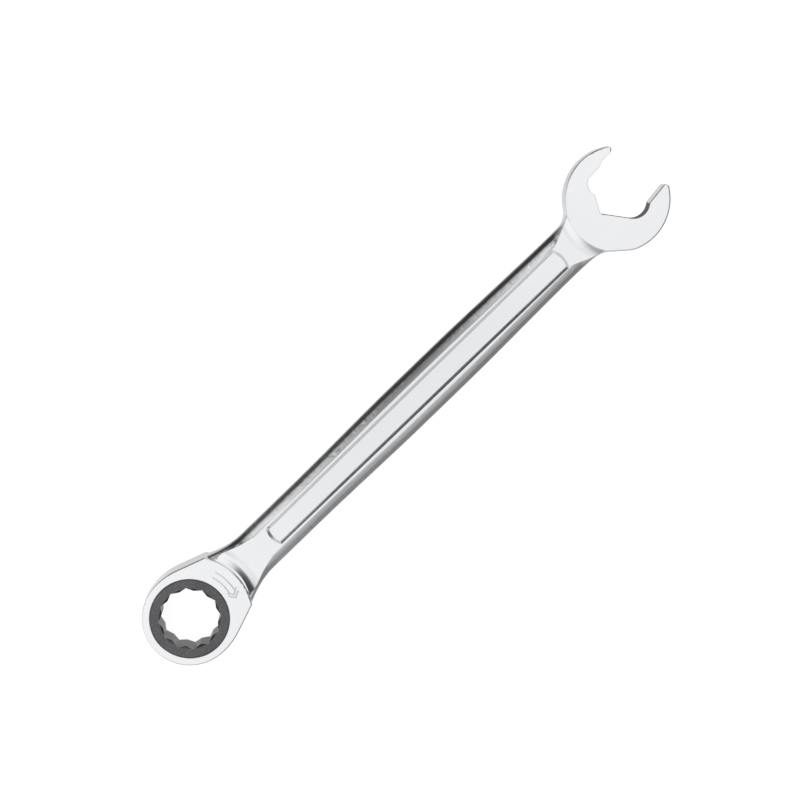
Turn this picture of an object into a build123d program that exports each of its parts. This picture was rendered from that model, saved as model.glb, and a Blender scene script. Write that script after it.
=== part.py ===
"""Ratcheting combination wrench: a 12-point ratchet ring at one end, an open jaw at the other.

Frame: millimetres, +Z up. The origin is the centre of the ring, halfway through its thickness.
+X runs along the shank to the open jaw, and +Z points out of the face that has the direction arrow.
"""
from build123d import *
from math import cos, degrees, radians, sin, tan
import os

os.makedirs("parts", exist_ok=True)

# Sizes of the nuts that the two ends fit
RING_NUT_FLATS = 17.0
RING_NUT_PLAY = 0.1
JAW_NUT_FLATS = 19.0
JAW_NUT_PLAY = 0.1

# Ring end: outline in plan
RING_THICKNESS = 10.8
RING_RADIUS = 15.0
RING_BULGE_START = 85.0         # degrees round from the tip where the ring widens to its shoulders
RING_BULGE_RADIUS = 21.9
SHOULDER_ANGLE = 19.5           # slope of the straight shoulders to the shank
SHOULDER_END_X = 25.0
RING_FACE_RADIUS = 20.0         # edge of the flat face toward the shank, an arc about the ring
RING_EDGE_ROUND = 0.4

# Cove between the raised ring face and the shank, turned about the ring's axis
COVE_END_RADIUS = 24.6
COVE_REACH = 32.0
COVE_LIP = 0.2
COVE_HEADROOM = 1.0

# Shank: half widths along its length, and how it flares into the two heads
SHANK_THICKNESS = 6.8
SHANK_FACE_Z = SHANK_THICKNESS / 2
SHANK_SIDE_ROUND = 3.35
SHANK_HALF_AT_RING = 7.4
SHANK_HALF_AT_MIDDLE = 7.95
SHANK_HALF_AT_JAW = 7.25
SHANK_SWELL_X = (50.0, 95.0)    # where the shank widens
SHANK_TAPER_X = (112.0, 164.0)  # where it narrows again
SHANK_START_X = 15.0
SHANK_END_X = 174.2
SHANK_STEPS = 80
# Each flare starts at a place along the shank, bends out on a radius, then runs straight at a slope
RING_FLARE = (29.5, 25.0, 0.355)
JAW_UPPER_FLARE = (167.5, 5.5, 1.07)
JAW_LOWER_FLARE = (168.7, 7.0, 0.854)
RING_THICKENING = (33.0, 64.0, 1.0)
JAW_THICKENING_X = (162.5, 171.5)
SHANK_ROOT_INSET = 0.2          # the shank's root stays this far under the ring's faces
JAW_ROOT_INSET = 0.05           # and this far under the jaw's
JAW_ROOT_ROUND = 1.2

# Long panel sunk in both faces of the shank
PANEL_START_X = 35.8
PANEL_END_X = 162.3
PANEL_START_HALF = 3.45
PANEL_END_HALF = 3.8
PANEL_END_RISE = 1.0            # how far the round ends bow outward
PANEL_DEPTH = 0.8
PANEL_WALL_TAPER = 45.0
PANEL_CORNER = 1.0

# Open end
JAW_THICKNESS = 8.8
JAW_CENTRE = (186.5, 1.05)
JAW_RADIUS = 16.5
JAW_HEEL_POINT = (172.9, -8.4)  # the lower side runs straight along a line through here
JAW_HEEL_ANGLE = -40.5
JAW_HEEL_ROUND = 8.0
JAW_EDGE_ROUND = 0.45
JAW_RIM_BAND = 1.0
JAW_COVE_START_RADIUS = 16.3    # cove from the jaw's face down to the shank, turned about the jaw
JAW_COVE_END_RADIUS = 19.6
JAW_COVE_REACH = 26.0
JAW_COVE_LIP = 0.1

# Jaw opening, in a frame of its own: +X out of the mouth, origin at the centre of a seated nut
JAW_ANGLE = 7.0
JAW_NUT_CENTRE = (190.68, 2.75)
JAW_MOUTH_REACH = 25.0
JAW_THROAT_X = -11.0
JAW_THROAT_HALF = 1.2
JAW_RELIEF_START_X = 1.3        # the lower flat runs from the mouth to here
JAW_RELIEF_FLOOR = (-2.9, -10.6)
JAW_RELIEF_END = (-6.3, -8.2)
JAW_CORNER_START = (-7.6, 5.4)  # upper corner relief, between the throat and the first step
JAW_CORNER_MIDDLE = (-7.2, 8.2)
# Upper side of the opening: places along it and how far each is set back from the nut
JAW_STEPS = ((-4.9, 0.4), (-0.3, 0.0), (1.9, 0.6), (5.0, 0.2), (6.0, 0.2))
JAW_UPPER_NOSE = (6.75, 0.9)    # blunt end of the upper arm
JAW_UPPER_CROWN = (5.9, 3.6)
JAW_LOWER_TIP_ROUND = 1.1
JAW_UPPER_TIP_ROUND = 0.4

# Ratchet gear
GEAR_TEETH = 72
GEAR_TIP_RADIUS = 13.0
GEAR_ROOT_RADIUS = 12.45
GEAR_JOURNAL_RADIUS = 12.45
GEAR_BAND_TOP = 3.3
GEAR_BAND_BOTTOM = -3.8
GEAR_RAMP_SHARE = 0.64          # share of one tooth pitch taken by the long back of the tooth
GEAR_TIP_SHARE = 0.09
GEAR_FACE_SHARE = 0.18          # share taken by the steep driving face
GEAR_HOLE_TURN = -7.8           # how far the 12-point hole is turned from the shank, degrees
GEAR_POINT_ANGLE = 30           # from one point of the 12-point hole to the next
GEAR_HOLE_LEAD = 0.75
GEAR_RIM_CHAMFER = 0.25

# Bore that holds the gear
BORE_CLEARANCE = 0.05
CHAMBER_RADIUS = 13.1
SHOULDER_Z = 3.4
BORE_RIM_CHAMFER = 0.2

# Retaining ring and its groove
GROOVE_RADIUS = 13.8
GROOVE_TOP = -3.85
GROOVE_BOTTOM = -4.75
CLIP_OUTER_RADIUS = 13.72
CLIP_INNER_RADIUS = 12.6
CLIP_TOP = -3.9
CLIP_BOTTOM = -4.7
CLIP_GAP_ANGLE = 16.0
CLIP_GAP_DIRECTION = 200.0

# Pawl, in a closed pocket between the gear and the shank
PAWL_HALF_WIDTH = 2.6
PAWL_HALF_HEIGHT = 2.55
PAWL_BACK_X = 17.6
PAWL_TRAVEL = 0.7
PAWL_SIDE_PLAY = 0.1
PAWL_MESH_PLAY = 0.05
POCKET_BACK_X = 18.6
SPRING_HOLE_RADIUS = 1.25
SPRING_HOLE_DEPTH = 3.4
SPRING_SEAT_DEPTH = 1.0

# Pawl spring
SPRING_MEAN_RADIUS = 0.9
SPRING_WIRE_RADIUS = 0.17
SPRING_TURNS = 7
SPRING_END_PLAY = 0.05

# Direction arrow cut into the ring face: a shaft of two lines and a double head
ARROW_RADIUS = 15.95
ARROW_HALF_WIDTH = 0.95
ARROW_TAIL_ANGLE = 16.5
ARROW_NECK_ANGLE = -12.0
ARROW_HEAD_ANGLES = (-15.5, -19.5)
ARROW_HEAD_HALF_WIDTH = 1.75
ARROW_HEAD_SWEEP = 5.5
ARROW_LINE_WIDTH = 0.3
ARROW_DEPTH = 0.14


def on_circle(radius, angle):
    """Point at an angle in degrees on a circle about the ring's axis."""
    return (radius * cos(radians(angle)), radius * sin(radians(angle)))


def band(radius, low, high):
    """Cylinder about the ring's axis between two heights."""
    return Pos(0, 0, (low + high) / 2) * Cylinder(radius, high - low)


def ring_outline():
    """Plan outline of the ring end: a round nose that widens and runs into straight shoulders."""
    nose = JernArc((-RING_RADIUS, 0), (0, 1), RING_RADIUS, -RING_BULGE_START)
    bulge_turn = SHOULDER_ANGLE + 90 - RING_BULGE_START
    bulge = JernArc(nose @ 1, nose % 1, RING_BULGE_RADIUS, -bulge_turn)
    run = (SHOULDER_END_X - (bulge @ 1).X) / cos(radians(SHOULDER_ANGLE))
    side = Line(bulge @ 1, bulge @ 1 + (bulge % 1) * run)
    end = Line(side @ 1, ((side @ 1).X, 0))
    base = Line(end @ 1, nose @ 0)
    half = make_face([nose, bulge, side, end, base])
    return half + mirror(half, about=Plane.XZ)


def ring_head():
    """Full-thickness ring head, cut off toward the shank by an arc about the ring's axis."""
    plan = ring_outline() & Circle(RING_FACE_RADIUS)
    head = extrude(plan, RING_THICKNESS / 2, both=True)
    rims = head.edges().group_by(Axis.Z)
    return fillet(rims[0] + rims[-1], RING_EDGE_ROUND)


def blend(x, span):
    """Smooth step from 0 to 1 along a stretch of the shank."""
    share = min(max((x - span[0]) / (span[1] - span[0]), 0.0), 1.0)
    return share * share * (3 - 2 * share)


def flare(distance, radius, slope):
    """Growth at a distance past the start of a flare: a bend on a radius, then a straight slope."""
    bend = slope * radius
    if distance <= 0:
        return 0.0
    if distance < bend:
        return distance * distance / (2 * radius)
    return slope * (distance - bend / 2)


def shank_half_width(x, jaw_flare):
    """Reach of the shank to one side at a place along it."""
    waist = SHANK_HALF_AT_RING
    waist += (SHANK_HALF_AT_MIDDLE - SHANK_HALF_AT_RING) * blend(x, SHANK_SWELL_X)
    waist += (SHANK_HALF_AT_JAW - SHANK_HALF_AT_MIDDLE) * blend(x, SHANK_TAPER_X)
    at_ring = flare(RING_FLARE[0] - x, RING_FLARE[1], RING_FLARE[2])
    at_jaw = flare(x - jaw_flare[0], jaw_flare[1], jaw_flare[2])
    return waist + at_ring + at_jaw


def shank_section(x):
    """One cross-section of the shank, a rectangle with round corners."""
    left = shank_half_width(x, JAW_UPPER_FLARE)
    right = shank_half_width(x, JAW_LOWER_FLARE)
    at_ring = flare(RING_THICKENING[0] - x, RING_THICKENING[1], RING_THICKENING[2])
    at_jaw = (JAW_THICKNESS / 2 - JAW_ROOT_INSET - SHANK_FACE_Z) * blend(x, JAW_THICKENING_X)
    half = min(SHANK_FACE_Z + at_ring + at_jaw, RING_THICKNESS / 2 - SHANK_ROOT_INSET)
    jaw_share = blend(x, (SHANK_TAPER_X[1], SHANK_END_X))
    corner = SHANK_SIDE_ROUND + (JAW_ROOT_ROUND - SHANK_SIDE_ROUND) * jaw_share
    plane = Plane(origin=(x, (left - right) / 2, 0), x_dir=(0, 1, 0), z_dir=(1, 0, 0))
    return plane * RectangleRounded(left + right, 2 * half, corner)


def shank_bar():
    """The shank, from inside the ring head to inside the jaw head."""
    step = (SHANK_END_X - SHANK_START_X) / SHANK_STEPS
    return loft([shank_section(SHANK_START_X + step * index) for index in range(SHANK_STEPS + 1)])


def both_faces(cutter):
    """A cutter for the upper face together with its mirror image for the lower face."""
    return cutter + mirror(cutter, about=Plane.XY)


def cove_cutter(start_radius, end_radius, reach, top, lip_depth):
    """Turned cutter that hollows the cove between a head's face and the shank's upper face."""
    clear = top + COVE_HEADROOM
    lip = Line((start_radius, clear), (start_radius, top - lip_depth))
    hollow = TangentArc((end_radius, SHANK_FACE_Z), lip @ 1, tangent=(-1, 0))
    rest = Polyline(hollow @ 0, (reach, SHANK_FACE_Z), (reach, clear), lip @ 0)
    return revolve(Plane.XZ * make_face([lip, hollow, rest]), Axis.Z)


def ring_cove():
    """Cove round the ring head, cut into both faces of the shank."""
    top = RING_THICKNESS / 2
    return both_faces(cove_cutter(RING_FACE_RADIUS, COVE_END_RADIUS, COVE_REACH, top, COVE_LIP))


def jaw_cove():
    """Cove round the jaw head, cut into both faces of the shank."""
    cutter = cove_cutter(
        JAW_COVE_START_RADIUS, JAW_COVE_END_RADIUS, JAW_COVE_REACH, JAW_THICKNESS / 2, JAW_COVE_LIP
    )
    return both_faces(Pos(*JAW_CENTRE) * cutter)


def jaw_opening():
    """Plan of the jaw opening: plain lower flat, V throat, and upper flat in two leaning steps."""
    grip = (JAW_NUT_FLATS + JAW_NUT_PLAY) / 2
    lower = Line((JAW_MOUTH_REACH, -grip), (JAW_RELIEF_START_X, -grip))
    relief = ThreePointArc(lower @ 1, JAW_RELIEF_FLOOR, JAW_RELIEF_END)
    into_throat = Line(relief @ 1, (JAW_THROAT_X + JAW_THROAT_HALF / 2, -JAW_THROAT_HALF))
    throat = ThreePointArc(
        into_throat @ 1, (JAW_THROAT_X, 0), (JAW_THROAT_X + JAW_THROAT_HALF / 2, JAW_THROAT_HALF)
    )
    out_of_throat = Line(throat @ 1, JAW_CORNER_START)
    upper = [(x, grip + set_back) for x, set_back in (*JAW_STEPS, JAW_UPPER_NOSE, JAW_UPPER_CROWN)]
    corner = ThreePointArc(JAW_CORNER_START, JAW_CORNER_MIDDLE, upper[0])
    steps = Polyline(*upper, (JAW_MOUTH_REACH, grip + JAW_UPPER_CROWN[1]))
    mouth = Line(steps @ 1, lower @ 0)
    plan = make_face([lower, relief, into_throat, throat, out_of_throat, corner, steps, mouth])
    return Pos(*JAW_NUT_CENTRE) * Rot(0, 0, JAW_ANGLE) * plan


def is_outer_rim(edge):
    """Whether an edge lies on the jaw head's round outside."""
    from_centre = edge @ 0.5 - Vector(*JAW_CENTRE)
    return abs(Vector(from_centre.X, from_centre.Y).length - JAW_RADIUS) < JAW_RIM_BAND


def jaw_head():
    """Round jaw head with its opening and its rounded tips."""
    heel_side = Pos(*JAW_HEEL_POINT) * Rot(0, 0, JAW_HEEL_ANGLE) * Rectangle(
        4 * JAW_RADIUS, JAW_RADIUS, align=(Align.CENTER, Align.MAX)
    )
    plan = Pos(*JAW_CENTRE) * Circle(JAW_RADIUS) - heel_side
    plan = fillet(plan.vertices().sort_by(Axis.Y)[0], JAW_HEEL_ROUND)
    plan -= jaw_opening()
    plan = fillet(plan.vertices().sort_by(Axis.Y)[-1], JAW_UPPER_TIP_ROUND)
    plan = fillet(plan.vertices().sort_by(Axis.X)[-1], JAW_LOWER_TIP_ROUND)
    head = extrude(plan, JAW_THICKNESS / 2, both=True)
    rims = head.edges().group_by(Axis.Z)
    outer_rims = [edge for edge in rims[0] + rims[-1] if is_outer_rim(edge)]
    return fillet(outer_rims, JAW_EDGE_ROUND)


def panel_recess():
    """Tapered cutter for the long panel, sunk into the shank's upper face."""
    start_corner = PANEL_START_X + PANEL_END_RISE
    end_corner = PANEL_END_X - PANEL_END_RISE
    near = ThreePointArc(
        (start_corner, -PANEL_START_HALF), (PANEL_START_X, 0), (start_corner, PANEL_START_HALF)
    )
    upper = Line(near @ 1, (end_corner, PANEL_END_HALF))
    far = ThreePointArc(upper @ 1, (PANEL_END_X, 0), (end_corner, -PANEL_END_HALF))
    lower = Line(far @ 1, near @ 0)
    plan = make_face([near, upper, far, lower])
    plan = fillet(plan.vertices(), PANEL_CORNER)
    above_face = offset(plan, PANEL_DEPTH * tan(radians(PANEL_WALL_TAPER)))
    cutter = Pos(0, 0, SHANK_FACE_Z + PANEL_DEPTH) * above_face
    return extrude(cutter, -2 * PANEL_DEPTH, taper=PANEL_WALL_TAPER)


def arrow_cutter():
    """Grooves of the direction arrow, pointing the way that the ring drives."""
    shaft = []
    for radius in (ARROW_RADIUS - ARROW_HALF_WIDTH, ARROW_RADIUS + ARROW_HALF_WIDTH):
        sweep_angle = ARROW_NECK_ANGLE - ARROW_TAIL_ANGLE
        shaft.append(CenterArc((0, 0), radius, ARROW_TAIL_ANGLE, sweep_angle))
    heads = []
    for tip_angle in ARROW_HEAD_ANGLES:
        barb_angle = tip_angle + ARROW_HEAD_SWEEP
        inner_barb = on_circle(ARROW_RADIUS - ARROW_HEAD_HALF_WIDTH, barb_angle)
        outer_barb = on_circle(ARROW_RADIUS + ARROW_HEAD_HALF_WIDTH, barb_angle)
        heads.append(Polyline(inner_barb, on_circle(ARROW_RADIUS, tip_angle), outer_barb))
    lines = [trace(line, ARROW_LINE_WIDTH) for line in shaft + heads]
    top = RING_THICKNESS / 2
    return [extrude(Pos(0, 0, top - ARROW_DEPTH) * line, 2 * ARROW_DEPTH) for line in lines]


def gear_bore():
    """All that is cut out of the ring head: bore, clip groove, pawl pocket and spring seat."""
    top = RING_THICKNESS / 2
    neck_radius = GEAR_JOURNAL_RADIUS + BORE_CLEARANCE
    neck = band(neck_radius, SHOULDER_Z - BORE_RIM_CHAMFER, top + BORE_RIM_CHAMFER)
    chamber = band(CHAMBER_RADIUS, -top - BORE_RIM_CHAMFER, SHOULDER_Z)
    groove = band(GROOVE_RADIUS, GROOVE_BOTTOM, GROOVE_TOP)
    upper_rim = Pos(0, 0, top - BORE_RIM_CHAMFER / 2) * Cone(
        neck_radius, neck_radius + BORE_RIM_CHAMFER, BORE_RIM_CHAMFER
    )
    lower_rim = Pos(0, 0, -top + BORE_RIM_CHAMFER / 2) * Cone(
        CHAMBER_RADIUS + BORE_RIM_CHAMFER, CHAMBER_RADIUS, BORE_RIM_CHAMFER
    )
    pocket_start = GEAR_ROOT_RADIUS - PAWL_TRAVEL
    pocket_height = 2 * (PAWL_HALF_HEIGHT + PAWL_SIDE_PLAY)
    pocket = Pos((pocket_start + POCKET_BACK_X) / 2, 0, 0) * Box(
        POCKET_BACK_X - pocket_start, 2 * (PAWL_HALF_WIDTH + PAWL_SIDE_PLAY), pocket_height
    )
    seat = Pos(POCKET_BACK_X + SPRING_SEAT_DEPTH / 2, 0, 0) * Rot(0, 90, 0) * Cylinder(
        SPRING_HOLE_RADIUS, SPRING_SEAT_DEPTH
    )
    return neck + chamber + groove + upper_rim + lower_rim + pocket + seat


def wrench_body():
    """The forging: ring head, shank and open jaw in one piece."""
    body = ring_head() + (shank_bar() - ring_cove() - jaw_cove()) + jaw_head()
    body -= both_faces(panel_recess())
    body -= gear_bore()
    for groove in arrow_cutter():
        body -= groove
    return body


def tooth_outline(grow):
    """Plan of the gear's toothed band, made larger all round by grow."""
    pitch = 360 / GEAR_TEETH
    widen = degrees(grow / GEAR_TIP_RADIUS)
    points = []
    for tooth in range(GEAR_TEETH):
        start = tooth * pitch
        ramp_top = start + GEAR_RAMP_SHARE * pitch
        drop = ramp_top + GEAR_TIP_SHARE * pitch
        foot = drop + GEAR_FACE_SHARE * pitch
        points.append(on_circle(GEAR_ROOT_RADIUS + grow, start - widen))
        points.append(on_circle(GEAR_TIP_RADIUS + grow, ramp_top - widen))
        points.append(on_circle(GEAR_TIP_RADIUS + grow, drop + widen))
        points.append(on_circle(GEAR_ROOT_RADIUS + grow, foot + widen))
    return make_face(Polyline(*points, close=True))


def twelve_point_hole():
    """Plan of the 12-point hole: two hexagons, one turned by half a side."""
    flats = RING_NUT_FLATS + RING_NUT_PLAY
    hexagon = RegularPolygon(flats / 2, 6, major_radius=False)
    return Rot(0, 0, GEAR_HOLE_TURN) * hexagon + Rot(0, 0, GEAR_HOLE_TURN + GEAR_POINT_ANGLE) * hexagon


def drive_gear():
    """Ratchet gear: smooth journals above and below a toothed band, around a 12-point hole."""
    top = RING_THICKNESS / 2
    teeth = extrude(Pos(0, 0, GEAR_BAND_BOTTOM) * tooth_outline(0), GEAR_BAND_TOP - GEAR_BAND_BOTTOM)
    journal = Cylinder(GEAR_JOURNAL_RADIUS, RING_THICKNESS)
    rims = journal.edges().group_by(Axis.Z)
    journal = chamfer(rims[0] + rims[-1], GEAR_RIM_CHAMFER)
    gear = journal + teeth
    gear -= extrude(twelve_point_hole(), RING_THICKNESS, both=True)
    inner_corner_radius = (RING_NUT_FLATS + RING_NUT_PLAY) / 2 / cos(radians(GEAR_POINT_ANGLE / 2))
    lead_radius = inner_corner_radius + GEAR_HOLE_LEAD
    lead = Cone(lead_radius - 2 * GEAR_HOLE_LEAD, lead_radius, 2 * GEAR_HOLE_LEAD)
    gear -= Pos(0, 0, top - GEAR_HOLE_LEAD) * lead
    gear -= Pos(0, 0, GEAR_HOLE_LEAD - top) * Rot(180, 0, 0) * lead
    return gear


def pawl():
    """Sliding pawl with a toothed front that matches the gear, and a hole in its back for the spring."""
    front = GEAR_ROOT_RADIUS - PAWL_TRAVEL
    block = Pos((front + PAWL_BACK_X) / 2, 0, 0) * Box(
        PAWL_BACK_X - front, 2 * PAWL_HALF_WIDTH, 2 * PAWL_HALF_HEIGHT
    )
    hole = Pos(PAWL_BACK_X - SPRING_HOLE_DEPTH / 2, 0, 0) * Rot(0, 90, 0) * Cylinder(
        SPRING_HOLE_RADIUS, SPRING_HOLE_DEPTH
    )
    teeth = extrude(tooth_outline(PAWL_MESH_PLAY), 2 * PAWL_HALF_HEIGHT, both=True)
    return block - hole - teeth


def pawl_spring():
    """Coil spring between the bottom of the pawl's hole and the seat in the body."""
    start = PAWL_BACK_X - SPRING_HOLE_DEPTH + SPRING_END_PLAY + SPRING_WIRE_RADIUS
    end = POCKET_BACK_X + SPRING_SEAT_DEPTH - SPRING_END_PLAY - SPRING_WIRE_RADIUS
    height = end - start
    pitch = height / SPRING_TURNS
    path = Helix(pitch, height, SPRING_MEAN_RADIUS, center=(start, 0, 0), direction=(1, 0, 0))
    wire = Plane(origin=path @ 0, z_dir=path % 0) * Circle(SPRING_WIRE_RADIUS)
    return sweep(wire, path=path, is_frenet=True)


def retaining_ring():
    """Open spring clip that sits in the body's groove and holds the gear in."""
    ring = band(CLIP_OUTER_RADIUS, CLIP_BOTTOM, CLIP_TOP) - band(CLIP_INNER_RADIUS, CLIP_BOTTOM, CLIP_TOP)
    gap_width = 2 * CLIP_INNER_RADIUS * sin(radians(CLIP_GAP_ANGLE / 2))
    gap = Rot(0, 0, CLIP_GAP_DIRECTION) * Pos(CLIP_OUTER_RADIUS, 0, (CLIP_TOP + CLIP_BOTTOM) / 2) * Box(
        CLIP_OUTER_RADIUS, gap_width, CLIP_TOP - CLIP_BOTTOM
    )
    return ring - gap


PARTS = {
    "wrench_body": wrench_body,
    "drive_gear": drive_gear,
    "pawl": pawl,
    "pawl_spring": pawl_spring,
    "retaining_ring": retaining_ring,
}

for name, make in PARTS.items():
    shape = make()
    export_step(shape, f"parts/{name}.step")
    print(name, len(shape.solids()), "solid(s)", round(shape.volume, 2), "mm3")
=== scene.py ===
"""Finishes and studio for a ratcheting combination wrench.

Every piece of the wrench is a node of the frame. Each operator gives one piece, or a group of like
pieces, its finish, and the last one lays the floor, the lights and the camera.
"""
import math

import bpy
from bpy.props import FloatProperty, FloatVectorProperty, PointerProperty
from bpy.types import Operator, Panel, PropertyGroup
from mathutils import Matrix, Quaternion, Vector


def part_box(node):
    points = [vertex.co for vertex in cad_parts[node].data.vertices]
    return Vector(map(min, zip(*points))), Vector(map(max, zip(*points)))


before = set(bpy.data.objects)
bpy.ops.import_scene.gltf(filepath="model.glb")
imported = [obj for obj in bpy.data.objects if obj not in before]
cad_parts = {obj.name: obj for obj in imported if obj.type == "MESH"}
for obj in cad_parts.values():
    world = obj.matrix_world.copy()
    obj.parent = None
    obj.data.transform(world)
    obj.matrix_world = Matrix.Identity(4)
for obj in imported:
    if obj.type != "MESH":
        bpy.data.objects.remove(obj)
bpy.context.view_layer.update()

bl_info = {
    "name": "Ratcheting combination wrench",
    "version": (1, 0, 0),
    "blender": (4, 5, 0),
    "location": "3D View > Sidebar > Wrench",
    "description": "Finishes the wrench's forging, ratchet gear and inner steel, and lays a plain studio",
    "category": "Object",
}

MM = 0.001
BODY_LOW, BODY_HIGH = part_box("wrench_body")
GEAR_LOW, GEAR_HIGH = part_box("drive_gear")
RING_FACE_Z = BODY_HIGH[2]
GEAR_RADIUS = (GEAR_HIGH[0] - GEAR_LOW[0]) / 2

WEAR_GRAIN = 900.0
WORN_STEEL = (0.7, 0.69, 0.67)
WORN_PHOSPHATE = (0.5, 0.5, 0.49)


# ---------------------------------------------------------------- node building

class NodeTree:
    """The node tree of a material or of the world, with short calls for the nodes that both use."""

    def __init__(self, owner):
        owner.use_nodes = True
        self.tree = owner.node_tree

    def node(self, kind, **settings):
        """A new node, with its plain settings given by name."""
        made = self.tree.nodes.new(kind)
        for setting, value in settings.items():
            setattr(made, setting, value)
        return made

    def feed(self, target, source):
        """Links source to the socket, or sets the socket when source is a plain value."""
        if isinstance(source, bpy.types.NodeSocket):
            self.tree.links.new(source, target)
        else:
            target.default_value = source

    def math(self, operation, first, second=0.0):
        """The result of one sum on two values."""
        made = self.node("ShaderNodeMath", operation=operation)
        self.feed(made.inputs[0], first)
        self.feed(made.inputs[1], second)
        return made.outputs[0]

    def split(self, vector):
        """The x, y and z of a vector."""
        made = self.node("ShaderNodeSeparateXYZ")
        self.feed(made.inputs[0], vector)
        return made.outputs

    def ramp(self, source, low, high, start=0.0, end=1.0):
        """Source taken from low..high to start..end, and held there outside it."""
        made = self.node("ShaderNodeMapRange", clamp=True)
        self.feed(made.inputs["Value"], source)
        made.inputs["From Min"].default_value = low
        made.inputs["From Max"].default_value = high
        made.inputs["To Min"].default_value = start
        made.inputs["To Max"].default_value = end
        return made.outputs["Result"]

    def mix(self, share, first, second):
        """A value between two values."""
        made = self.node("ShaderNodeMix", data_type="FLOAT")
        self.feed(made.inputs["Factor"], share)
        self.feed(made.inputs["A"], first)
        self.feed(made.inputs["B"], second)
        return made.outputs["Result"]


class Shader(NodeTree):
    """A new material's node tree, with the textures and edges that the finishes share."""

    def __init__(self, name):
        self.material = bpy.data.materials.new(name)
        super().__init__(self.material)
        self.surface = self.tree.nodes["Principled BSDF"]
        self.place = self.node("ShaderNodeTexCoord").outputs["Object"]

    def vector_math(self, operation, first, second=None):
        """The node that does one sum on vectors."""
        made = self.node("ShaderNodeVectorMath", operation=operation)
        self.feed(made.inputs[0], first)
        if second is not None:
            self.feed(made.inputs[1], second)
        return made

    def scaled(self, scale):
        """Object coordinates stretched by a scale for each axis, so that a texture can run one way."""
        made = self.node("ShaderNodeMapping")
        self.feed(made.inputs["Vector"], self.place)
        made.inputs["Scale"].default_value = scale
        return made.outputs["Vector"]

    def noise(self, scale, detail=4.0, roughness=0.5, along=None):
        """Noise between 0 and 1, either even or along stretched coordinates."""
        made = self.node("ShaderNodeTexNoise")
        self.feed(made.inputs["Vector"], along or self.place)
        made.inputs["Scale"].default_value = scale
        made.inputs["Detail"].default_value = detail
        made.inputs["Roughness"].default_value = roughness
        return made.outputs["Fac"]

    def blend(self, share, first, second):
        """A colour between two colours."""
        made = self.node("ShaderNodeMix", data_type="RGBA")
        self.feed(made.inputs["Factor"], share)
        self.feed(made.inputs["A"], first)
        self.feed(made.inputs["B"], second)
        return made.outputs["Result"]

    def from_axis(self):
        """Distance of a place from the ring's axis."""
        x, y, _ = self.split(self.place)
        return self.math("SQRT", self.math("ADD", self.math("MULTIPLY", x, x), self.math("MULTIPLY", y, y)))

    def true_normal(self):
        """The flat normal of each face."""
        return self.node("ShaderNodeNewGeometry").outputs["True Normal"]

    def soft_edge(self, radius):
        """The surface normal as if every sharp edge had this small radius."""
        made = self.node("ShaderNodeBevel", samples=6)
        made.inputs["Radius"].default_value = radius
        return made.outputs["Normal"]

    def edge_wear(self, radius, spread):
        """Share from 0 on open faces to 1 on edges, broken up by noise."""
        meet = self.vector_math("DOT_PRODUCT", self.soft_edge(radius), self.true_normal())
        edge = self.ramp(meet.outputs["Value"], 1.0 - spread, 1.0, 1.0, 0.0)
        return self.math("MULTIPLY", edge, self.ramp(self.noise(WEAR_GRAIN), 0.35, 0.6))

    def bump(self, height, distance, strength, normal=None):
        """A bumped normal, on top of another normal when one is given."""
        made = self.node("ShaderNodeBump")
        made.inputs["Strength"].default_value = strength
        made.inputs["Distance"].default_value = distance
        self.feed(made.inputs["Height"], height)
        if normal:
            self.feed(made.inputs["Normal"], normal)
        return made.outputs["Normal"]

    def finish(self, colour, roughness, normal, metallic=1.0):
        """Feeds the surface and returns the material."""
        self.feed(self.surface.inputs["Base Color"], colour)
        self.feed(self.surface.inputs["Roughness"], roughness)
        self.feed(self.surface.inputs["Normal"], normal)
        self.surface.inputs["Metallic"].default_value = metallic
        return self.material


def opaque(colour, level=1.0):
    """A colour brought to a level, with the fourth number that a socket needs."""
    return (*(level * part for part in colour), 1.0)


def coat(node, material):
    """Puts a finish on every material slot of a node of the frame."""
    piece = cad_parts[node]
    if not piece.material_slots:
        raise RuntimeError(f"{node} has no material slot")
    for slot in piece.material_slots:
        slot.material = material
    return piece


# ---------------------------------------------------------------- sizes and colours

class ForgingFinish(PropertyGroup):
    """Satin chrome plate on the forging."""

    plate: FloatVectorProperty(
        name="Plate colour", description="Colour of the chrome plate", subtype="COLOR",
        default=(0.93, 0.935, 0.95), min=0.0, max=1.0,
    )
    # Painted shade: a slightly darker colour laid in the engraved arrow's grooves, standing in for the shade
    # that falls there.
    groove_shade: FloatVectorProperty(
        name="Groove colour", description="Colour of the residue in the engraved arrow",
        subtype="COLOR", default=(0.8, 0.8, 0.81), min=0.0, max=1.0,
    )
    # Painted shade: a near-black colour laid on the upright walls of the jaw's throat, standing in for the
    # shade in that recess.
    shaded_throat: FloatVectorProperty(
        name="Throat colour", description="Rough forged steel left in the jaw's throat", subtype="COLOR",
        default=(0.07, 0.07, 0.072), min=0.0, max=1.0,
    )
    nut_centre: FloatVectorProperty(
        name="Nut centre", description="Centre of a nut seated in the jaw", subtype="TRANSLATION",
        unit="LENGTH", default=(190.68 * MM, 2.75 * MM, 0.0),
    )
    jaw_turn: FloatProperty(
        name="Jaw turn", description="Turn of the jaw from the shank", subtype="ANGLE", unit="ROTATION",
        default=math.radians(7.0),
    )
    gloss: FloatProperty(
        name="Roughness", description="Roughness of the satin plate", default=0.17, min=0.02, max=0.6
    )
    grain: FloatProperty(
        name="Grain", description="Strength of the polishing lines along the shank",
        default=0.1, min=0.0, max=1.0,
    )
    edge: FloatProperty(
        name="Edge radius", description="Radius that polishing leaves on sharp edges",
        subtype="DISTANCE", unit="LENGTH", default=0.22 * MM, min=0.0, max=1.0 * MM,
    )


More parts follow.
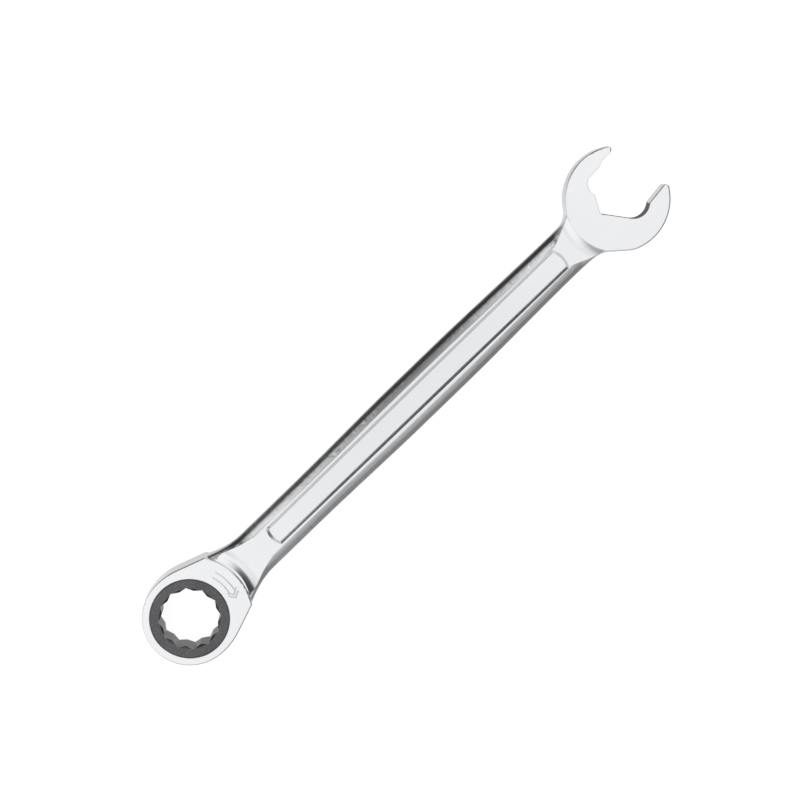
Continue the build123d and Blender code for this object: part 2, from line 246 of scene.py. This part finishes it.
class GearFinish(PropertyGroup):
    """Blackened steel of the ratchet gear."""

    black: FloatVectorProperty(
        name="Oxide colour", description="Colour of the blackened steel", subtype="COLOR",
        default=(0.135, 0.135, 0.14), min=0.0, max=1.0,
    )
    bare: FloatVectorProperty(
        name="Worn colour", description="Bare steel that shows on worn edges", subtype="COLOR",
        default=(0.5, 0.5, 0.5), min=0.0, max=1.0,
    )
    turning: FloatProperty(
        name="Turning pitch", description="Distance between the turned rings on the gear's face",
        subtype="DISTANCE", unit="LENGTH", default=0.24 * MM, min=0.05 * MM, max=1.0 * MM,
    )
    gloss: FloatProperty(
        name="Roughness", description="Roughness of the oxide", default=0.33, min=0.05, max=1.0
    )


class InnerSteelFinish(PropertyGroup):
    """Ground and drawn steel inside the ring head."""

    ground: FloatVectorProperty(
        name="Pawl colour", description="Hardened and ground steel of the pawl", subtype="COLOR",
        default=(0.42, 0.41, 0.4), min=0.0, max=1.0,
    )
    wire: FloatVectorProperty(
        name="Wire colour", description="Drawn wire of the pawl's spring", subtype="COLOR",
        default=(0.55, 0.54, 0.52), min=0.0, max=1.0,
    )
    clip: FloatVectorProperty(
        name="Clip colour", description="Phosphate coat on the retaining ring", subtype="COLOR",
        default=(0.1, 0.1, 0.1), min=0.0, max=1.0,
    )


class StudioSettings(PropertyGroup):
    """Floor, light tent and camera."""

    floor: FloatVectorProperty(
        name="Floor colour", description="Colour of the pale floor", subtype="COLOR",
        default=(0.3, 0.3, 0.3), min=0.0, max=1.0,
    )
    floor_glow: FloatProperty(
        name="Floor glow", description="Light that the lit floor panel gives off",
        default=0.92, min=0.0, max=5.0,
    )
    roof_height: FloatProperty(
        name="Tent height", description="Height of the light tent's roof over the wrench",
        subtype="DISTANCE", unit="LENGTH", default=0.6, min=0.2, max=3.0,
    )
    roof_light: FloatProperty(
        name="Tent light", description="Brightness of the tent's brightest part",
        default=1.0, min=0.0, max=10.0,
    )
    middle: FloatProperty(
        name="Tent middle", description="Place along the shank that the tent hangs over", subtype="DISTANCE",
        unit="LENGTH", default=0.066,
    )
    shank_level: FloatProperty(
        name="Shank level", description="Share of the tent's light over the shank",
        default=0.9, min=0.0, max=1.0,
    )
    head_level: FloatProperty(
        name="Head level", description="Share of the tent's light over the heads",
        default=0.98, min=0.0, max=1.0,
    )
    end_level: FloatProperty(
        name="End level", description="Share of the tent's light past the jaw",
        default=0.1, min=0.0, max=1.0,
    )
    distance: FloatProperty(
        name="Camera distance", description="From the camera to the wrench", subtype="DISTANCE",
        unit="LENGTH", default=0.7426, min=0.2, max=5.0,
    )
    lens: FloatProperty(
        name="Lens", description="Focal length", subtype="DISTANCE_CAMERA", default=106.9, min=20.0, max=300.0
    )
    heading: FloatProperty(
        name="Heading", description="Turn of the wrench in the picture, anticlockwise from level",
        subtype="ANGLE", unit="ROTATION", default=math.radians(44.27),
    )
    tilt: FloatProperty(
        name="Tilt", description="Lean of the camera from straight above", subtype="ANGLE",
        unit="ROTATION", default=math.radians(7.195),
    )
    lean: FloatProperty(
        name="Lean direction", description="Way the camera leans, from the picture's right",
        subtype="ANGLE", unit="ROTATION", default=math.radians(105.0),
    )
    target: FloatVectorProperty(
        name="Target", description="Point that the camera looks at", subtype="TRANSLATION",
        unit="LENGTH", default=(94.81 * MM, 2.85 * MM, 0.0),
    )


# ---------------------------------------------------------------- pieces

class WRENCH_OT_plate_forging(Operator):
    """Give the forged body its satin chrome plate"""

    bl_idname = "wrench.plate_forging"
    bl_label = "Plate the forging"

    def execute(self, context):
        look = context.scene.wrench_forging
        shader = Shader("satin_chrome")
        clouds = shader.noise(scale=38.0, detail=3.0)
        along_shank = shader.scaled((90.0, 2600.0, 2600.0))
        lines = shader.noise(scale=1.0, detail=6.0, roughness=0.7, along=along_shank)
        orange_peel = shader.noise(scale=420.0, detail=2.0)
        wear = shader.edge_wear(radius=0.5 * MM, spread=0.25)

        colour = shader.blend(shader.ramp(clouds, 0.3, 0.7), opaque(look.plate, 0.965), opaque(look.plate))
        # Painted shade in the grooves of the engraved arrow.
        colour = shader.blend(self.in_arrow(shader), colour, opaque(look.groove_shade))

        # Painted shade on the upright walls of the jaw's throat, where the plate is also made rougher.
        shaded_throat = self.in_throat(shader, look)
        colour = shader.blend(shaded_throat, colour, opaque(look.shaded_throat))

        roughness = shader.ramp(lines, 0.25, 0.75, 0.86 * look.gloss, 1.14 * look.gloss)
        roughness = shader.math("ADD", roughness, shader.ramp(clouds, 0.35, 0.65, -0.012, 0.012))
        roughness = shader.math("ADD", roughness, shader.math("MULTIPLY", wear, 0.05))
        roughness = shader.math("ADD", roughness, shader.math("MULTIPLY", shaded_throat, 0.3))

        normal = shader.soft_edge(look.edge)
        normal = shader.bump(orange_peel, 0.004 * MM, 0.6, normal)
        normal = shader.bump(lines, 0.0012 * MM, look.grain, normal)
        coat("wrench_body", shader.finish(colour, roughness, normal))
        return {"FINISHED"}

    def in_throat(self, shader, look):
        """Share that is 1 on the upright walls behind the jaw's gripping flats, where the shade is painted
        and the plate is made rougher.
        """
        toward_opening = (math.cos(look.jaw_turn), math.sin(look.jaw_turn), 0.0)
        offset = shader.vector_math("SUBTRACT", shader.place, look.nut_centre).outputs["Vector"]
        along = shader.vector_math("DOT_PRODUCT", offset, toward_opening).outputs["Value"]
        reach = shader.vector_math("LENGTH", offset).outputs["Value"]
        behind_flats = shader.ramp(along, 1.0 * MM, 1.2 * MM, 1.0, 0.0)
        near_nut = shader.ramp(reach, 12.4 * MM, 12.8 * MM, 1.0, 0.0)
        slope = shader.math("ABSOLUTE", shader.split(shader.true_normal())["Z"])
        upright = shader.ramp(slope, 0.3, 0.5, 1.0, 0.0)
        return shader.math("MULTIPLY", shader.math("MULTIPLY", behind_flats, near_nut), upright)

    def in_arrow(self, shader):
        """Share that is 1 in the grooves of the direction arrow, just under the ring's face, where the shade
        is painted.
        """
        x, _, z = shader.split(shader.place)
        under_face = shader.ramp(z, RING_FACE_Z - 0.1 * MM, RING_FACE_Z - 0.04 * MM, 1.0, 0.0)
        over_floor = shader.ramp(z, RING_FACE_Z - 0.2 * MM, RING_FACE_Z - 0.16 * MM)
        in_groove = shader.math("MULTIPLY", under_face, over_floor)
        radius = shader.from_axis()
        inside = shader.ramp(radius, 18.4 * MM, 18.5 * MM, 1.0, 0.0)
        beyond_bore = shader.ramp(radius, GEAR_RADIUS + 0.8 * MM, GEAR_RADIUS + 0.9 * MM)
        on_shank_side = shader.ramp(x, 12.0 * MM, 12.2 * MM)
        place = shader.math("MULTIPLY", shader.math("MULTIPLY", inside, beyond_bore), on_shank_side)
        return shader.math("MULTIPLY", in_groove, place)


class WRENCH_OT_blacken_gear(Operator):
    """Give the ratchet gear its blackened, turned steel"""

    bl_idname = "wrench.blacken_gear"
    bl_label = "Blacken the gear"

    def execute(self, context):
        look = context.scene.wrench_gear
        shader = Shader("blackened_steel")
        radius = shader.from_axis()
        rings = shader.math("SINE", shader.math("MULTIPLY", radius, 2 * math.pi / look.turning))
        speckle = shader.noise(scale=1500.0, detail=3.0, roughness=0.7)
        clouds = shader.noise(scale=140.0, detail=3.0)
        wear = shader.edge_wear(radius=0.3 * MM, spread=0.3)

        dark = shader.blend(shader.ramp(clouds, 0.3, 0.7), opaque(look.black, 0.8), opaque(look.black))
        dark = shader.blend(shader.ramp(speckle, 0.52, 0.68, 0.0, 0.55), dark, opaque(look.black, 2.1))
        colour = shader.blend(shader.math("MULTIPLY", wear, 0.55), dark, opaque(look.bare))
        roughness = shader.ramp(speckle, 0.3, 0.7, look.gloss - 0.09, look.gloss + 0.09)
        roughness = shader.math("SUBTRACT", roughness, shader.math("MULTIPLY", wear, 0.15))

        normal = shader.soft_edge(0.1 * MM)
        normal = shader.bump(rings, 0.004 * MM, 0.35, normal)
        normal = shader.bump(speckle, 0.012 * MM, 0.5, normal)
        coat("drive_gear", shader.finish(colour, roughness, normal))
        return {"FINISHED"}


class WRENCH_OT_grind_pawl(Operator):
    """Give the pawl its ground steel"""

    bl_idname = "wrench.grind_pawl"
    bl_label = "Grind the pawl"

    def execute(self, context):
        look = context.scene.wrench_inner_steel
        shader = Shader("ground_steel")
        along_slide = shader.scaled((300.0, 6000.0, 6000.0))
        strokes = shader.noise(scale=1.0, detail=5.0, roughness=0.7, along=along_slide)
        temper = shader.noise(scale=260.0, detail=2.0)
        wear = shader.edge_wear(radius=0.15 * MM, spread=0.3)

        colour = shader.blend(shader.ramp(temper, 0.35, 0.65), opaque(look.ground, 0.85), opaque(look.ground))
        colour = shader.blend(wear, colour, opaque(WORN_STEEL))
        roughness = shader.ramp(strokes, 0.25, 0.75, 0.24, 0.4)
        normal = shader.bump(strokes, 0.003 * MM, 0.5, shader.soft_edge(0.06 * MM))
        coat("pawl", shader.finish(colour, roughness, normal))
        return {"FINISHED"}


class WRENCH_OT_draw_spring(Operator):
    """Give the pawl's spring its drawn wire"""

    bl_idname = "wrench.draw_spring"
    bl_label = "Draw the spring wire"

    def execute(self, context):
        look = context.scene.wrench_inner_steel
        shader = Shader("drawn_wire")
        tint = shader.noise(scale=700.0, detail=3.0)
        die_marks = shader.noise(scale=5000.0)
        colour = shader.blend(shader.ramp(tint, 0.35, 0.65), opaque(look.wire, 0.8), opaque(look.wire))
        roughness = shader.ramp(tint, 0.3, 0.7, 0.22, 0.36)
        normal = shader.bump(die_marks, 0.002 * MM, 0.4)
        coat("pawl_spring", shader.finish(colour, roughness, normal))
        return {"FINISHED"}


class WRENCH_OT_coat_retaining_ring(Operator):
    """Give the retaining ring its dark phosphate coat"""

    bl_idname = "wrench.coat_retaining_ring"
    bl_label = "Coat the retaining ring"

    def execute(self, context):
        look = context.scene.wrench_inner_steel
        shader = Shader("phosphate_coat")
        crystals = shader.noise(scale=3200.0, detail=3.0, roughness=0.7)
        wear = shader.edge_wear(radius=0.12 * MM, spread=0.3)

        colour = shader.blend(shader.ramp(crystals, 0.4, 0.65), opaque(look.clip), opaque(look.clip, 1.9))
        colour = shader.blend(shader.math("MULTIPLY", wear, 0.6), colour, opaque(WORN_PHOSPHATE))
        roughness = shader.ramp(crystals, 0.3, 0.7, 0.42, 0.6)
        normal = shader.bump(crystals, 0.006 * MM, 0.5, shader.soft_edge(0.06 * MM))
        coat("retaining_ring", shader.finish(colour, roughness, normal))
        return {"FINISHED"}


# ---------------------------------------------------------------- studio

FLOOR_REACH = 6.0
ROOF_LOW = (-1.2, -1.6)
ROOF_HIGH = (1.4, 1.6)

# Fades of the tent's roof, in metres along it or across it. The first two numbers are places, and where
# there are four, the last two are the roof's levels there.
JAW_END_FADE = (0.22, 0.34)
OVER_MIDDLE_FADE = (0.06, 0.16)
OVER_END_FADE = (-0.1, -0.01)
OVER_END_LEVEL = 0.85
NEAR_EDGE_FADE = (-0.1, -0.32)
NEAR_SIDE_FADE = (-0.3, -1.5, 0.42, 0.24)
FAR_EDGE_FADE = (-0.03, 0.1)
FAR_MIDDLE_FADE = (0.02, 0.14)
FAR_BRIGHT_FADE = (0.25, 1.25, 1.0, 0.3)
FAR_DARK_FADE = (0.1, 1.0, 0.14, 0.04)

# Fades of the light from round about. The first two numbers are the x, y or z of a direction, and where
# there are four, the last two are the light's levels there.
SIDE_FADE = (-1.0, 0.6, 0.26, 0.04)
UNDER_FADE = (-0.5, -0.95, 0.0, 0.75)
RING_END_LIGHT = (-0.1, -0.5, 0.0, 0.65)
JAW_END_LIGHT = (0.15, 0.55, 0.0, 0.7)
JAW_FAR_SIDE = (-0.25, 0.05)
JAW_NEAR_SIDE = (-0.45, -0.7)
JAW_ABOVE = (-0.3, -0.1)


def sheet_mesh(name, low, high, height):
    """A flat level sheet between two corners."""
    corners = [(low[0], low[1]), (high[0], low[1]), (high[0], high[1]), (low[0], high[1])]
    mesh = bpy.data.meshes.new(name)
    mesh.from_pydata([(x, y, height) for x, y in corners], [], [(0, 1, 2, 3)])
    piece = bpy.data.objects.new(name, mesh)
    bpy.context.scene.collection.objects.link(piece)
    return piece


class WRENCH_OT_lay_studio(Operator):
    """Lay the pale floor, the light tent and the camera"""

    bl_idname = "wrench.lay_studio"
    bl_label = "Lay the studio"

    def execute(self, context):
        look = context.scene.wrench_studio
        self.lay_floor(look)
        self.hang_roof(look)
        self.light_round(context.scene)
        self.place_camera(context.scene, look)
        context.scene.view_settings.view_transform = "Standard"
        return {"FINISHED"}

    def lay_floor(self, look):
        """A pale floor that the wrench lies on. It stays out of the plate's reflections."""
        floor = sheet_mesh("floor", (-FLOOR_REACH, -FLOOR_REACH), (FLOOR_REACH, FLOOR_REACH), BODY_LOW[2])
        shader = Shader("pale_floor")
        mottle = shader.noise(scale=14.0, detail=5.0)
        colour = shader.blend(mottle, opaque(look.floor, 0.985), opaque(look.floor))
        shader.surface.inputs["Emission Color"].default_value = opaque((1.0, 1.0, 1.0))
        shader.surface.inputs["Emission Strength"].default_value = look.floor_glow
        normal = shader.bump(shader.noise(scale=900.0), 0.02 * MM, 0.2)
        floor.data.materials.append(shader.finish(colour, 0.85, normal, metallic=0.0))
        floor.visible_glossy = False

    def hang_roof(self, look):
        """The tent's roof: bright over the wrench, and dimmer beside the shank and past the jaw."""
        roof = sheet_mesh("light_roof", ROOF_LOW, ROOF_HIGH, look.roof_height)
        roof.visible_camera = False
        shader = Shader("tent_cloth")
        x, y, _ = shader.split(shader.place)
        along = shader.math("SUBTRACT", x, look.middle)
        off_middle = shader.math("ABSOLUTE", along)
        past_jaw = shader.ramp(along, *JAW_END_FADE)

        over_wrench = shader.ramp(off_middle, *OVER_MIDDLE_FADE, look.shank_level, look.head_level)
        over_end = shader.ramp(y, *OVER_END_FADE, look.end_level, OVER_END_LEVEL)
        over = shader.mix(past_jaw, over_wrench, over_end)
        near = shader.mix(past_jaw, shader.ramp(y, *NEAR_SIDE_FADE), 0.5 * look.end_level)
        far_dark = shader.ramp(y, *FAR_DARK_FADE)
        far_bright = shader.ramp(y, *FAR_BRIGHT_FADE)
        far = shader.mix(shader.ramp(off_middle, *FAR_MIDDLE_FADE), far_dark, far_bright)

        level = shader.mix(shader.ramp(y, *NEAR_EDGE_FADE), over, near)
        level = shader.mix(shader.ramp(y, *FAR_EDGE_FADE), level, far)
        glow = shader.node("ShaderNodeEmission")
        shader.feed(glow.inputs["Strength"], shader.math("MULTIPLY", level, look.roof_light))
        shader.feed(shader.tree.nodes["Material Output"].inputs["Surface"], glow.outputs[0])
        roof.data.materials.append(shader.material)

    def light_round(self, scene):
        """Light from round about: white behind the scene, and in what the plate reflects dark on the far
        side, grey on the near side and bright at the wrench's ends."""
        scene.world = bpy.data.worlds.new("studio_round")
        light = NodeTree(scene.world)
        backdrop = light.tree.nodes["Background"]
        backdrop.inputs["Color"].default_value = opaque((1.0, 1.0, 1.0))
        x, y, z = light.split(light.node("ShaderNodeTexCoord").outputs["Generated"])

        sides = light.math("ADD", light.ramp(y, *SIDE_FADE), light.ramp(z, *UNDER_FADE))
        off_cove = light.math("ADD", light.ramp(y, *JAW_FAR_SIDE), light.ramp(y, *JAW_NEAR_SIDE))
        jaw_end = light.math("MULTIPLY", light.ramp(x, *JAW_END_LIGHT), off_cove)
        jaw_end = light.math("MULTIPLY", jaw_end, light.ramp(z, *JAW_ABOVE))
        ends = light.math("ADD", light.ramp(x, *RING_END_LIGHT), jaw_end)

        round_light = light.node("ShaderNodeBackground")
        light.feed(round_light.inputs["Strength"], light.math("ADD", sides, ends))
        choice = light.node("ShaderNodeMixShader")
        light.feed(choice.inputs["Fac"], light.node("ShaderNodeLightPath").outputs["Is Glossy Ray"])
        light.feed(choice.inputs[1], backdrop.outputs[0])
        light.feed(choice.inputs[2], round_light.outputs[0])
        light.feed(light.tree.nodes["World Output"].inputs["Surface"], choice.outputs[0])

    def place_camera(self, scene, look):
        """Camera over the wrench, leaning a little toward its far side."""
        right = Vector((math.cos(look.heading), -math.sin(look.heading), 0.0))
        up = Vector((math.sin(look.heading), math.cos(look.heading), 0.0))
        level = math.cos(look.lean) * right + math.sin(look.lean) * up
        lean = Quaternion(Vector((0.0, 0.0, 1.0)).cross(level), look.tilt)
        right, up = lean @ right, lean @ up
        back = lean @ Vector((0.0, 0.0, 1.0))
        camera = bpy.data.objects.new("camera", bpy.data.cameras.new("camera"))
        scene.collection.objects.link(camera)
        camera.data.sensor_width = 36.0
        camera.data.lens = look.lens
        camera.data.clip_start = 0.01
        camera.data.clip_end = 50.0
        turn = Matrix((right, up, back)).transposed().to_4x4()
        camera.matrix_world = Matrix.Translation(Vector(look.target) + look.distance * back) @ turn
        scene.camera = camera


# ---------------------------------------------------------------- panel and registration

PIECE_OPERATORS = (
    WRENCH_OT_plate_forging,
    WRENCH_OT_blacken_gear,
    WRENCH_OT_grind_pawl,
    WRENCH_OT_draw_spring,
    WRENCH_OT_coat_retaining_ring,
    WRENCH_OT_lay_studio,
)
SETTINGS = {
    "wrench_forging": ForgingFinish,
    "wrench_gear": GearFinish,
    "wrench_inner_steel": InnerSteelFinish,
    "wrench_studio": StudioSettings,
}


class WRENCH_PT_sidebar(Panel):
    """Lists the finishing steps of the wrench"""

    bl_idname = "WRENCH_PT_sidebar"
    bl_label = "Combination wrench"
    bl_space_type = "VIEW_3D"
    bl_region_type = "UI"
    bl_category = "Wrench"

    def draw(self, context):
        for step in PIECE_OPERATORS:
            self.layout.operator(step.bl_idname)
        for setting in SETTINGS:
            group = getattr(context.scene, setting)
            box = self.layout.box()
            for name in group.bl_rna.properties.keys():
                if name not in ("rna_type", "name"):
                    box.prop(group, name)


def register():
    for group in SETTINGS.values():
        bpy.utils.register_class(group)
    for setting, group in SETTINGS.items():
        setattr(bpy.types.Scene, setting, PointerProperty(type=group))
    for step in PIECE_OPERATORS:
        bpy.utils.register_class(step)
    bpy.utils.register_class(WRENCH_PT_sidebar)


def unregister():
    bpy.utils.unregister_class(WRENCH_PT_sidebar)
    for step in reversed(PIECE_OPERATORS):
        bpy.utils.unregister_class(step)
    for setting in SETTINGS:
        delattr(bpy.types.Scene, setting)
    for group in SETTINGS.values():
        bpy.utils.unregister_class(group)


def main():
    register()
    bpy.ops.wrench.plate_forging()
    bpy.ops.wrench.blacken_gear()
    bpy.ops.wrench.grind_pawl()
    bpy.ops.wrench.draw_spring()
    bpy.ops.wrench.coat_retaining_ring()
    bpy.ops.wrench.lay_studio()


if __name__ == "__main__":
    main()
